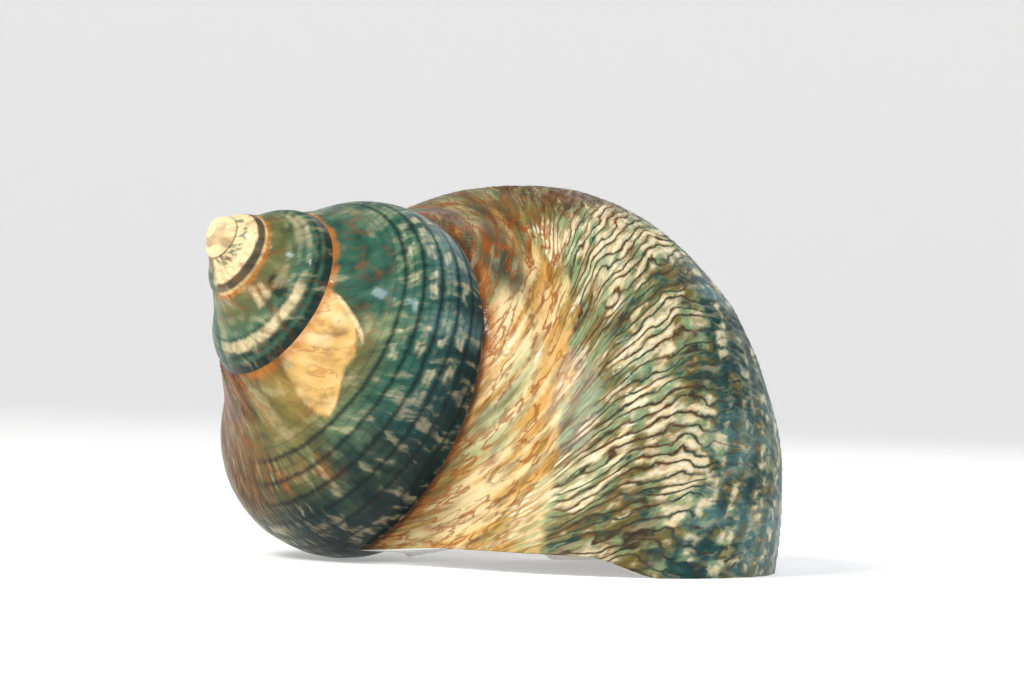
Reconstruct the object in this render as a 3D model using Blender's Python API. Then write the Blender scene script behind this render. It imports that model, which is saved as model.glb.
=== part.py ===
"""A large green turban shell, lying on its mouth: one closed, hollow solid.

The shell is a tube that winds down an axis from a point, its origin of growth. Every turn it
gets larger by one fixed factor, so its path and its section are the same curve at every age,
only scaled. Ages are counted in turns: age 0 is one whole turn after age -1, and the tube points
straight down there. The tube's section is nearly round, and is given in polar form about the
tube's centre: 0 degrees points away from the axis and 90 degrees towards the apex.

The skin is a ribbon wound from the apex to the lip. Its upper edge is the suture, which lies on
the turn before, and its lower edge is the suture of the turn after. On the last turn, which
nothing covers, the ribbon goes on over the base as far as a thin pillar about the axis. The lip
is where the tube meets the ground, and the hollow starts there and winds back inside.

Units are metres, +Z is up, and the shell stands on z = 0.
"""

import math

import bmesh
import bpy
import numpy as np

# ---- growth: sizes at age 0 ----
GROWTH_PER_TURN = 2.0          # every turn is this many times as large as the last
PATH_RADIUS = 0.0452           # from the axis to the tube's centre
PATH_DROP = 0.1456             # from the growth origin down the axis to the tube's centre
TUBE_RADIUS = 0.0563           # mean radius of the section

# ---- section ----
OVAL_AMOUNT = -0.052           # flattening, as a part of the tube's radius
OVAL_TURN = math.radians(19.5)
TRIANGLE_AMOUNT = -0.030       # slight three-cornered shape
TRIANGLE_TURN = math.radians(-32.3)
CHANNEL_DEPTH = 0.080          # hollow below the suture of the last turn
CHANNEL_PLACE = math.radians(72.0)
CHANNEL_WIDTH = math.radians(12.0)
CHANNEL_START_AGE = -0.9
CHANNEL_FULL_AGE = -0.3
RAMP_START = math.radians(42.0)   # from here the section bends to meet the suture

# ---- where a turn sits on the turn before: angle on that turn's section ----
SEAT_EARLY = math.radians(12.9)
SEAT_LATE = math.radians(-28.5)
SEAT_SLIDE_AGE = -1.0             # the seat starts to slide down at this age
SEAT_SLIDE_POWER = 1.8

# ---- how the shell lies ----
AXIS_LEAN = math.radians(31.2)        # the apex end of the axis rises at this angle
AXIS_HEADING = math.radians(221.1)    # and points this way in plan, from +X
ORIGIN_OF_GROWTH = (-0.0746, -0.0507, 0.0861)

# ---- lip and hollow ----
LIP_ARCH_HEIGHT = 0.0052              # the lip arches up this far beside the suture
LIP_ARCH_START = math.radians(12.0)
LIP_ARCH_FULL = math.radians(38.0)
LIP_ARCH_WANE = math.radians(74.0)
LIP_ARCH_END = math.radians(108.0)
LIP_TURN_BACK = 0.45                  # turns over which growth lines lean into the lip
LIP_EARLIEST = -0.45                  # the lip lies between these two ages
LIP_LATEST = 0.12
WALL = 0.0042                         # thickness of the wall, at age 0
CALLUS = 0.0030                       # thickness over the turn before
PILLAR_RADIUS = 0.0090                # the base ends this far from the axis, on a solid pillar
PILLAR_ANGLE_GUESS = math.radians(-140.0)
HOLLOW_AXIS_GAP = 0.0135              # the hollow stays this far from the axis
HOLLOW_ROUNDNESS = 9.0                # exponent that rounds the corners of the hollow
HOLLOW_CHANNEL_SPREAD = 1.4           # the channel is this much wider inside than outside
HOLLOW_TURNS = 1.5
HOLLOW_END_TURNS = 0.12               # the hollow's rounded end
MOUTH_SLOPE_TURNS = 0.45

# ---- apex ----
SKIN_TURNS = 4.5                      # from the first suture to the lip
BALL_DROP = 0.0085                    # centre of the rounded tip, below the growth origin
BALL_RADIUS = 0.0060

# ---- finish ----
SKIN_COLOUR = (0.09, 0.13, 0.07, 1.0)
SKIN_ROUGHNESS = 0.3

# ---- mesh ----
ROWS_PER_TURN = 36
SPIRE_COLUMNS = 10                    # from suture to suture
SUTURE_CROWDING = 1.35                # above 1, columns lie closer together beside the suture
BASE_COLUMNS = 7                      # from the last seat to the pillar
PILLAR_ROWS = 5
SEARCH_STEPS = 40                     # halvings or repeats, which is far finer than the mesh
SMALLEST_COSINE = 1e-6                # keeps a flat limit of the hollow finite where it turns away


def smooth(x):
    """Eased step from 0 to 1."""
    x = np.clip(x, 0.0, 1.0)
    return x * x * (3.0 - 2.0 * x)


def growth(age):
    """Size at an age, as a multiple of the size at age 0."""
    return GROWTH_PER_TURN ** np.asarray(age, float)


def centre(age):
    """Tube's centre: distance from the axis, and height along it."""
    size = growth(age)
    return PATH_RADIUS * size, -PATH_DROP * size


def plain_section(angle):
    """Section's radius over the tube's radius, before it meets the suture."""
    oval = OVAL_AMOUNT * np.cos(2.0 * (angle - OVAL_TURN))
    triangle = TRIANGLE_AMOUNT * np.cos(3.0 * (angle - TRIANGLE_TURN))
    return 1.0 + oval + triangle


def seat(age):
    """Angle on the section of the turn before at which the suture of this age lies."""
    slide = smooth(np.maximum(0.0, age - SEAT_SLIDE_AGE) ** SEAT_SLIDE_POWER)
    return SEAT_EARLY + (SEAT_LATE - SEAT_EARLY) * slide


def suture(age):
    """Suture of an age: distance from the axis, and height along it."""
    radius, height = centre(age - 1.0)
    angle = seat(age)
    reach = TUBE_RADIUS * growth(age - 1.0) * plain_section(angle)
    return radius + reach * np.cos(angle), height + reach * np.sin(angle)


def suture_polar(age):
    """Suture as an angle, and a radius over the tube's radius, on this turn's own section."""
    radius, height = centre(age)
    suture_radius, suture_height = suture(age)
    across, along = suture_radius - radius, suture_height - height
    return np.arctan2(along, across), np.hypot(across, along) / (TUBE_RADIUS * growth(age))


def section(age, angle):
    """Section's radius over the tube's radius, with the channel and the ramp to the suture."""
    suture_angle, suture_reach = suture_polar(age)
    depth = CHANNEL_DEPTH * smooth((age - CHANNEL_START_AGE) / (CHANNEL_FULL_AGE - CHANNEL_START_AGE))

    def channel(at):
        return depth * np.exp(-0.5 * ((at - CHANNEL_PLACE) / CHANNEL_WIDTH) ** 2)

    gap = suture_reach - plain_section(suture_angle) + channel(suture_angle)
    along = np.clip((angle - RAMP_START) / (suture_angle - RAMP_START), 0.0, 1.0)
    return plain_section(angle) - channel(angle) + gap * along ** 3


def skin(age, angle):
    """Point of the skin: distance from the axis, and height along it."""
    radius, height = centre(age)
    reach = TUBE_RADIUS * growth(age) * section(age, angle)
    return radius + reach * np.cos(angle), height + reach * np.sin(angle)


def hollow(age, angle):
    """Point of the inner wall: the section less the wall, cut flat by pillar and by callus."""
    radius, height = centre(age)
    size = growth(age)
    outer = TUBE_RADIUS * plain_section(angle) - WALL
    depth = CHANNEL_DEPTH * TUBE_RADIUS
    outer = outer - depth * np.exp(-0.5 * ((angle - CHANNEL_PLACE) / (HOLLOW_CHANNEL_SPREAD * CHANNEL_WIDTH)) ** 2)
    inward = np.maximum(-np.cos(angle), SMALLEST_COSINE)
    pillar = (PATH_RADIUS - HOLLOW_AXIS_GAP) / inward
    step = 1.0 - 1.0 / GROWTH_PER_TURN
    apart = step * math.hypot(PATH_RADIUS, PATH_DROP)
    facing = math.atan2(PATH_DROP, -PATH_RADIUS)
    clear = apart - TUBE_RADIUS / GROWTH_PER_TURN - CALLUS
    parietal = clear / np.maximum(np.cos(angle - facing), SMALLEST_COSINE)
    power = -HOLLOW_ROUNDNESS
    reach = size * (outer ** power + pillar ** power + parietal ** power) ** (1.0 / power)
    return radius + reach * np.cos(angle), height + reach * np.sin(angle)


def axes():
    """Shell's own directions: up the axis, the way the tube points down, and across both."""
    flat = math.cos(AXIS_LEAN)
    up = np.array([flat * math.cos(AXIS_HEADING), flat * math.sin(AXIS_HEADING), math.sin(AXIS_LEAN)])
    down = np.array([0.0, 0.0, -1.0])
    down = down - down.dot(up) * up
    down = down / np.linalg.norm(down)
    return up, down, np.cross(up, down)


def place(radius, height, age):
    """World point of a distance from the axis, a height along it, and an age, which turns it."""
    up, down, across = axes()
    turned = -2.0 * math.pi * np.asarray(age, float)
    radius, height, turned = np.broadcast_arrays(radius, height, turned)
    out = (radius * np.cos(turned))[..., None] * down + (radius * np.sin(turned))[..., None] * across
    return out + height[..., None] * up + np.array(ORIGIN_OF_GROWTH)


def rim_height(angle):
    """Height of the lip over the ground: none, but for the arch beside the suture."""
    turned = np.where(angle < -math.pi, angle + 2.0 * math.pi, angle)
    rise = smooth((turned - LIP_ARCH_START) / (LIP_ARCH_FULL - LIP_ARCH_START))
    fall = smooth((LIP_ARCH_END - turned) / (LIP_ARCH_END - LIP_ARCH_WANE))
    return LIP_ARCH_HEIGHT * rise * fall


def lip_age(surface, angle):
    """Age at which a surface comes down to the rim's height, found by halving."""
    early = np.full(np.shape(angle), LIP_EARLIEST)
    late = np.full(np.shape(angle), LIP_LATEST)
    for _ in range(SEARCH_STEPS):
        middle = 0.5 * (early + late)
        radius, height = surface(middle, angle)
        above = place(radius, height, middle)[..., 2] > rim_height(angle)
        early = np.where(above, middle, early)
        late = np.where(above, late, middle)
    return 0.5 * (early + late)


def suture_lip_age():
    """Age at which the suture comes down to the lip, found by halving."""
    early, late = LIP_EARLIEST, LIP_LATEST
    for _ in range(SEARCH_STEPS):
        middle = 0.5 * (early + late)
        radius, height = suture(middle)
        if place(radius, height, middle)[2] > rim_height(suture_polar(middle)[0]):
            early = middle
        else:
            late = middle
    return 0.5 * (early + late)


def pillar_angle():
    """Angle at which the base meets the pillar, found by repeating."""
    angle = PILLAR_ANGLE_GUESS
    for _ in range(SEARCH_STEPS):
        angle = -math.acos((PILLAR_RADIUS - PATH_RADIUS) / (TUBE_RADIUS * plain_section(angle)))
    return angle


class Builder:
    """Collects points and faces, and makes the object."""

    def __init__(self):
        self.points = []
        self.faces = []

    def add(self, points):
        """Add points and return their numbers."""
        start = len(self.points)
        self.points.extend(tuple(float(c) for c in p) for p in points)
        return list(range(start, len(self.points)))

    def strip(self, first, second):
        """Join two rows of the same length with quads, leaving out corners that coincide."""
        for a, b, c, d in zip(first, first[1:], second[1:], second):
            face = [a, b, c, d]
            face = [v for i, v in enumerate(face) if v != face[i - 1]]
            if len(face) > 2:
                self.faces.append(face)

    def make(self, name, material):
        """Make the mesh, with its faces turned outwards."""
        mesh = bpy.data.meshes.new(name)
        mesh.from_pydata(self.points, [], self.faces)
        work = bmesh.new()
        work.from_mesh(mesh)
        bmesh.ops.recalc_face_normals(work, faces=work.faces)
        bmesh.ops.triangulate(work, faces=work.faces, quad_method="SHORT_EDGE")
        work.to_mesh(mesh)
        work.free()
        mesh.shade_smooth()
        mesh.materials.append(material)
        body = bpy.data.objects.new(name, mesh)
        bpy.context.collection.objects.link(body)
        return body


def ball_polar(radius, height):
    """Polar place of a point about the tip's centre: angle from the apex, and distance."""
    return np.arctan2(radius, height + BALL_DROP), np.hypot(radius, height + BALL_DROP)


def row_angles(age, with_base):
    """Angles of one row of skin points: suture to seat, and on to the pillar on the last turn."""
    upper = float(suture_polar(age)[0])
    lower = float(seat(age + 1.0))
    share = np.linspace(0.0, 1.0, SPIRE_COLUMNS + 1) ** SUTURE_CROWDING
    angles = upper + (lower - upper) * share
    if with_base:
        base = np.linspace(lower, pillar_angle(), BASE_COLUMNS + 1)
        angles = np.concatenate([angles, base[1:]])
    return angles


def ribbon(first_age, lip_suture_age):
    """Rows of skin points from the first suture to the lip: ages, angles, radii and heights."""
    count = int(round(SKIN_TURNS * ROWS_PER_TURN))
    lip_shift = lip_age(skin, row_angles(lip_suture_age, True)) - lip_suture_age
    lip_shift = np.minimum(lip_shift, 0.0)
    lip_shift[0] = 0.0
    rows = []
    for i in range(count + 1):
        age = first_age + i / ROWS_PER_TURN
        last_turn = i >= count - ROWS_PER_TURN
        angles = row_angles(age, last_turn)
        ages = np.full(angles.shape, age)
        if last_turn:
            ages += smooth((age - lip_suture_age + LIP_TURN_BACK) / LIP_TURN_BACK) * lip_shift
        radius, height = skin(ages, angles)
        if age - first_age < 1.0:
            radius, height = wind_on_ball(radius, height, age - first_age, first_age)
        rows.append((ages, angles, radius, height))
    return rows


def wind_on_ball(radius, height, early, first_age):
    """Blend a row of the first turn into a winding on the tip's ball."""
    end_radius, end_height = suture(first_age + 1.0)
    end_angle, end_reach = ball_polar(end_radius, end_height)
    low_angle, low_reach = ball_polar(radius[-1], height[-1])
    top_angle, top_reach = early * end_angle, BALL_RADIUS + (end_reach - BALL_RADIUS) * early
    share = np.linspace(0.0, 1.0, len(radius))
    angle = top_angle + (low_angle - top_angle) * share
    reach = top_reach + (low_reach - top_reach) * share
    blend = smooth(early)
    return (
        (1.0 - blend) * reach * np.sin(angle) + blend * radius,
        (1.0 - blend) * (reach * np.cos(angle) - BALL_DROP) + blend * height,
    )


def build_shell(material):
    """Build the shell: skin, lip, and the hollow behind it."""
    shell = Builder()
    lip_suture_age = suture_lip_age()
    first_age = lip_suture_age - SKIN_TURNS
    rows = ribbon(first_age, lip_suture_age)
    numbers = []
    for i, (ages, _, radius, height) in enumerate(rows):
        points = place(radius, height, ages)
        row = shell.add(points[1:]) if i else shell.add(points)
        if i == 0:
            numbers.append(row)
            continue
        if i < ROWS_PER_TURN:
            top = shell.add(points[:1])
        else:
            top = [numbers[i - ROWS_PER_TURN][SPIRE_COLUMNS]]
        numbers.append(top + row)
    for first, second in zip(numbers, numbers[1:]):
        width = min(len(first), len(second))
        shell.strip(first[:width], second[:width])
    # the tip: a fan inside the first turn's upper edge
    tip = numbers[0][0]
    edge = [row[0] for row in numbers[1:ROWS_PER_TURN]] + [numbers[0][SPIRE_COLUMNS]]
    shell.faces.extend([tip, a, b] for a, b in zip(edge, edge[1:-1]))
    shell.faces.append([tip, edge[-2]] + numbers[0][:0:-1])

    # the pillar: a cone from the base's inner edge to a foot on the ground
    axis_rows = [row[-1] for row in numbers[-1 - ROWS_PER_TURN:]]
    up = axes()[0]
    foot = np.array(ORIGIN_OF_GROWTH) + rows[-1][3][-1] * up
    head = np.array(shell.points[axis_rows[0]])
    share = np.linspace(0.0, 1.0, PILLAR_ROWS + 1)[:-1]
    pillar = shell.add(foot + (head - foot) * share[:, None])
    shell.faces.extend([a, b, pillar[0]] for a, b in zip(axis_rows[1:], axis_rows[2:]))
    shell.faces.append([axis_rows[0], axis_rows[1]] + pillar)

    # the mouth's edge: lip, then up the pillar, then over the turn before
    inner = numbers[-1 - ROWS_PER_TURN]
    edge = list(numbers[-1]) + pillar + inner[:SPIRE_COLUMNS:-1]
    _, lip_angles, _, _ = rows[-1]
    c_radius, c_height = centre(lip_suture_age)
    inner_points = np.array([shell.points[v] for v in edge[len(lip_angles):]]) - ORIGIN_OF_GROWTH
    along = inner_points @ up
    away = inner_points - along[:, None] * up
    turned = -2.0 * math.pi * lip_suture_age
    outwards = math.cos(turned) * axes()[1] + math.sin(turned) * axes()[2]
    inner_angles = np.arctan2(along - c_height, away @ outwards - c_radius)
    inner_angles = np.mod(inner_angles, 2.0 * math.pi) - 2.0 * math.pi
    angles = np.concatenate([lip_angles, inner_angles])
    ages = np.minimum(lip_age(hollow, angles), lip_suture_age)

    # the hollow: rings wound back from the mouth, then a rounded end
    steps = int(round(HOLLOW_TURNS * ROWS_PER_TURN))
    last = edge
    level = lip_suture_age
    for k in range(steps + 1):
        back = k / ROWS_PER_TURN
        lean = 1.0 - smooth(back / MOUTH_SLOPE_TURNS)
        at = level - back + lean * (ages - level)
        radius, height = hollow(at, angles)
        left = (steps - k) / ROWS_PER_TURN
        if left < HOLLOW_END_TURNS:
            shrink = math.sqrt(max(0.0, 1.0 - (1.0 - left / HOLLOW_END_TURNS) ** 2))
            c_radius, c_height = centre(at)
            radius = c_radius + shrink * (radius - c_radius)
            height = c_height + shrink * (height - c_height)
        if k == steps:
            end = shell.add(place(radius[:1], height[:1], at[:1]))
            shell.faces.extend([a, b, end[0]] for a, b in zip(last, last[1:] + last[:1]))
            break
        ring = shell.add(place(radius, height, at))
        shell.strip(last + last[:1], ring + ring[:1])
        last = ring
    return shell.make("turban_shell", material)


def shell_material():
    """Glossy olive green of the polished skin."""
    material = bpy.data.materials.new("green_turban_skin")
    material.use_nodes = True
    surface = material.node_tree.nodes["Principled BSDF"]
    surface.inputs["Base Color"].default_value = SKIN_COLOUR
    surface.inputs["Roughness"].default_value = SKIN_ROUGHNESS
    surface.inputs["Metallic"].default_value = 0.0
    return material


for old in list(bpy.data.objects):
    bpy.data.objects.remove(old, do_unlink=True)
build_shell(shell_material())
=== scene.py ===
"""Looks of a large green turban shell that lies on its mouth.

The shell is one piece: a skin wound from the apex to the lip, sculpted with growth ridges and
spiral cords, and a pearly hollow behind the lip. Ages are counted in turns, so age 0 is one whole
turn after age -1. Places on the skin are an age and an angle on the tube's section: 0 degrees
points away from the axis and 90 degrees towards the apex. Units are metres, +Z is up.
"""

from __future__ import annotations

import logging
import math
from collections.abc import Callable
from dataclasses import dataclass, field
from enum import Enum

import bpy
import numpy as np
from mathutils import Matrix, Vector

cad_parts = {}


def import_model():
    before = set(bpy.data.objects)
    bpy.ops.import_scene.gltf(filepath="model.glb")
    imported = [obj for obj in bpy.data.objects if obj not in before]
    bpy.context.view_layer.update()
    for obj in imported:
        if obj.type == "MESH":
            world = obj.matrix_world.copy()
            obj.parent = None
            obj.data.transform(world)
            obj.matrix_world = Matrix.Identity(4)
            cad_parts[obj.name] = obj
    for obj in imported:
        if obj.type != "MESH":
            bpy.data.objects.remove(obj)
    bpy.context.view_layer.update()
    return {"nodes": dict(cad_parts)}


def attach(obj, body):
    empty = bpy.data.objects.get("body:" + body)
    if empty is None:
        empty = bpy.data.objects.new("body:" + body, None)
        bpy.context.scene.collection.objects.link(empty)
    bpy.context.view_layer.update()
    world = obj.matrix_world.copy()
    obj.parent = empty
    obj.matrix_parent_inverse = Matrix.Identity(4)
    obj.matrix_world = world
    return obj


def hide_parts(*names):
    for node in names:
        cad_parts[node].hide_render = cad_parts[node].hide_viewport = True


LOG = logging.getLogger("turban_shell")
NODE = "turban_shell"
BODY = "root"
MM = 0.001
SEARCH_STEPS = 40  # rounds of a search, enough for the last digit
TINY = 1e-6  # smallest cosine that divides
SLOPE_STEP = 1e-4  # step in turns or radians for a slope
CREST_ROOT = 0.65  # power that broadens the crests of growth ridges
VALUES = 12  # numbers at each corner: two maps of 2 and two colours of 4
LAMP_AIM = (0.0, 0.0, 0.05)
Array = np.ndarray
Pair = tuple[np.ndarray, np.ndarray]
Size = tuple[float, float]
Triple = tuple[float, float, float]


def smooth(x: Array) -> Array:
    """Eased step: 3x^2 - 2x^3 between 0 and 1, and flat outside."""
    x = np.clip(x, 0.0, 1.0)
    return x * x * (3.0 - 2.0 * x)


def rise(x: Array, start: float, end: float) -> Array:
    """Eased step of x from 0 at start to 1 at end; end may be below start."""
    return smooth((np.asarray(x, float) - start) / (end - start))


def bump(x: Array, middle: float, width: float) -> Array:
    """Bell of height 1: exp(-(x - middle)^2 / (2 width^2))."""
    return np.exp(-0.5 * ((np.asarray(x, float) - middle) / width) ** 2)


def band(x: Array, low: float, high: float, soft: float) -> Array:
    """Plateau of height 1 from low to high, with eased sides as wide as soft."""
    return rise(x, low - soft, low + soft) * rise(x, high + soft, high - soft)


@dataclass(frozen=True)
class Grain:
    """Repeatable smooth noise on a lattice.

    Attributes:
        seed: Number that picks the lattice's values.
    """

    seed: int

    def lattice(self, column: Array, row: Array) -> Array:
        """Value from -1 to 1 at each lattice point, from a hash of its two numbers.

        Args:
            column: First numbers of the lattice points.
            row: Second numbers.

        Returns:
            Values, one for each point.
        """
        mixed = column.astype(np.int64) * 374761393 + row.astype(np.int64) * 668265263
        mixed = (mixed + self.seed * 974634777) & 0xFFFFFFFF
        mixed = ((mixed ^ (mixed >> 13)) * 1274126177) & 0xFFFFFFFF
        mixed = mixed ^ (mixed >> 16)
        return (mixed & 0xFFFF) / 32767.5 - 1.0

    def at(self, x: Array, y: Array) -> Array:
        """Noise at points: the four nearest lattice values, blended with an eased step.

        Args:
            x: Places along the first axis, in lattice cells.
            y: Places along the second axis, in lattice cells.

        Returns:
            Values from -1 to 1.
        """
        column, row = np.floor(x), np.floor(y)
        across, along = smooth(x - column), smooth(y - row)
        near = self.lattice(column, row) * (1 - across) + self.lattice(column + 1, row) * across
        far = self.lattice(column, row + 1) * (1 - across) + self.lattice(column + 1, row + 1) * across
        return near * (1 - along) + far * along

    def layers(self, x: Array, y: Array, count: int = 3) -> Array:
        """Sum of noises, each twice as fine and 0.55 times as strong as the last, about -1 to 1.

        Args:
            x: Places along the first axis.
            y: Places along the second axis.
            count: Number of noises.

        Returns:
            Values from about -1 to 1.
        """
        total, weight, whole = 0.0, 1.0, 0.0
        for layer in range(count):
            scale = 2.0**layer
            total = total + weight * Grain(self.seed + 17 * layer).at(x * scale, y * scale)
            whole += weight
            weight *= 0.55
        return total / whole * 1.4


@dataclass(frozen=True)
class Growth:
    """Law of growth of the shell, which gives every surface its shape.

    Attributes:
        per_turn: Size of a turn over the size of the turn before.
        path_radius: Distance of the tube's centre from the axis, at age 0.
        path_drop: Depth of the tube's centre below the growth origin, at age 0.
        tube_radius: Mean radius of the section, at age 0.
        oval: Amount and turn of the section's flattening.
        triangle: Amount and turn of its three-cornered shape.
        channel: Depth, angle and width of the hollow below the suture.
        channel_ages: Ages at which the channel starts and is full.
        ramp_start: Angle from which the section bends to meet the suture.
        seats: Angles, early and late, where a turn sits on the turn before.
        seat_slide: Age at which the seat starts to slide down, and the power of its ease.
        lag: Turns by which a growth line leans forward to the suture, and the degrees of its ease.
        slow_lag: The same for the lean over the rest of the section, which is even.
        early_lag: Share of the lean on the early turns, and the ages where it ends and is full.
        line_rate: Length of growth up to age 0, in metres.
    """

    per_turn: float = 2.0
    path_radius: float = 0.0452
    path_drop: float = 0.1456
    tube_radius: float = 0.0563
    oval: Size = (-0.052, math.radians(19.5))
    triangle: Size = (-0.030, math.radians(-32.3))
    channel: Triple = (0.080, math.radians(72.0), math.radians(12.0))
    channel_ages: Size = (-0.9, -0.3)
    ramp_start: float = math.radians(42.0)
    seats: Size = (math.radians(12.9), math.radians(-28.5))
    seat_slide: Size = (-1.0, 1.8)
    lag: Size = (0.245, 28.0)
    slow_lag: Size = (0.04, 116.0)
    early_lag: Triple = (0.45, -1.03, -0.90)
    line_rate: float = 0.80

    def size(self, age: Array) -> Array:
        """Size at an age: per_turn to the power of the age."""
        return self.per_turn ** np.asarray(age, float)

    def centre(self, age: Array) -> Pair:
        """Tube's centre: distance from the axis, and height along it."""
        size = self.size(age)
        return self.path_radius * size, -self.path_drop * size

    def plain(self, angle: Array) -> Array:
        """Section's radius over the tube's: 1 plus a wave of two and a wave of three crests."""
        oval = self.oval[0] * np.cos(2.0 * (angle - self.oval[1]))
        return 1.0 + oval + self.triangle[0] * np.cos(3.0 * (angle - self.triangle[1]))

    def seat(self, age: Array) -> Array:
        """Angle on the turn before at which this age's suture lies.

        Args:
            age: Ages, in turns.

        Returns:
            Angles, in radians.
        """
        start, power = self.seat_slide
        slide = smooth(np.maximum(0.0, np.asarray(age, float) - start) ** power)
        return self.seats[0] + (self.seats[1] - self.seats[0]) * slide

    def suture(self, age: Array) -> Pair:
        """Suture: distance from the axis, and height along it.

        Args:
            age: Ages, in turns.

        Returns:
            Distances and heights.
        """
        before = np.asarray(age, float) - 1.0
        radius, height = self.centre(before)
        angle = self.seat(age)
        reach = self.tube_radius * self.size(before) * self.plain(angle)
        return radius + reach * np.cos(angle), height + reach * np.sin(angle)

    def suture_polar(self, age: Array) -> Pair:
        """Suture on this turn's own section: its angle, and its radius over the tube's.

        Args:
            age: Ages, in turns.

        Returns:
            Angles in radians, and radii.
        """
        radius, height = self.centre(age)
        suture_radius, suture_height = self.suture(age)
        across, along = suture_radius - radius, suture_height - height
        return np.arctan2(along, across), np.hypot(across, along) / (self.tube_radius * self.size(age))

    def skin(self, age: Array, angle: Array) -> Pair:
        """Point of the plain skin.

        The section is the plain one, less the channel, plus a cubic ramp that meets the suture.

        Args:
            age: Ages, in turns.
            angle: Angles on the section, in radians.

        Returns:
            Distances from the axis, and heights along it.
        """
        suture_angle, suture_reach = self.suture_polar(age)
        depth, place, width = self.channel
        depth = depth * rise(age, *self.channel_ages)
        gap = suture_reach - self.plain(suture_angle) + depth * bump(suture_angle, place, width)
        along = np.clip((angle - self.ramp_start) / (suture_angle - self.ramp_start), 0.0, 1.0)
        section = self.plain(angle) - depth * bump(angle, place, width) + gap * along**3
        radius, height = self.centre(age)
        reach = self.tube_radius * self.size(age) * section
        return radius + reach * np.cos(angle), height + reach * np.sin(angle)


@dataclass(frozen=True)
class Lie:
    """How the shell lies on the ground.

    Attributes:
        lean: Angle of the axis over the ground, apex up.
        heading: Direction of the apex in plan, from +X.
        origin: World place of the growth origin.
    """

    lean: float = math.radians(31.2)
    heading: float = math.radians(221.1)
    origin: Triple = (-0.0746, -0.0507, 0.0861)

    def axes(self) -> tuple[Array, Array, Array]:
        """Directions: up the axis, steepest way down across it, and across both.

        Returns:
            Three directions of length 1.
        """
        flat = math.cos(self.lean)
        up = np.array([flat * math.cos(self.heading), flat * math.sin(self.heading), math.sin(self.lean)])
        down = np.array([0.0, 0.0, -1.0])
        down = down - down.dot(up) * up
        down = down / np.linalg.norm(down)
        return up, down, np.cross(up, down)

    def place(self, radius: Array, height: Array, age: Array) -> Array:
        """World points of distances from the axis and heights along it, turned back by the age.

        Args:
            radius: Distances from the axis.
            height: Heights along it.
            age: Ages, in turns.

        Returns:
            Points, in metres.
        """
        up, down, across = self.axes()
        turned = -2.0 * math.pi * np.asarray(age, float)
        radius, height, turned = np.broadcast_arrays(radius, height, turned)
        flat = (radius * np.cos(turned))[..., None] * down + (radius * np.sin(turned))[..., None] * across
        return flat + height[..., None] * up + np.array(self.origin)


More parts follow.
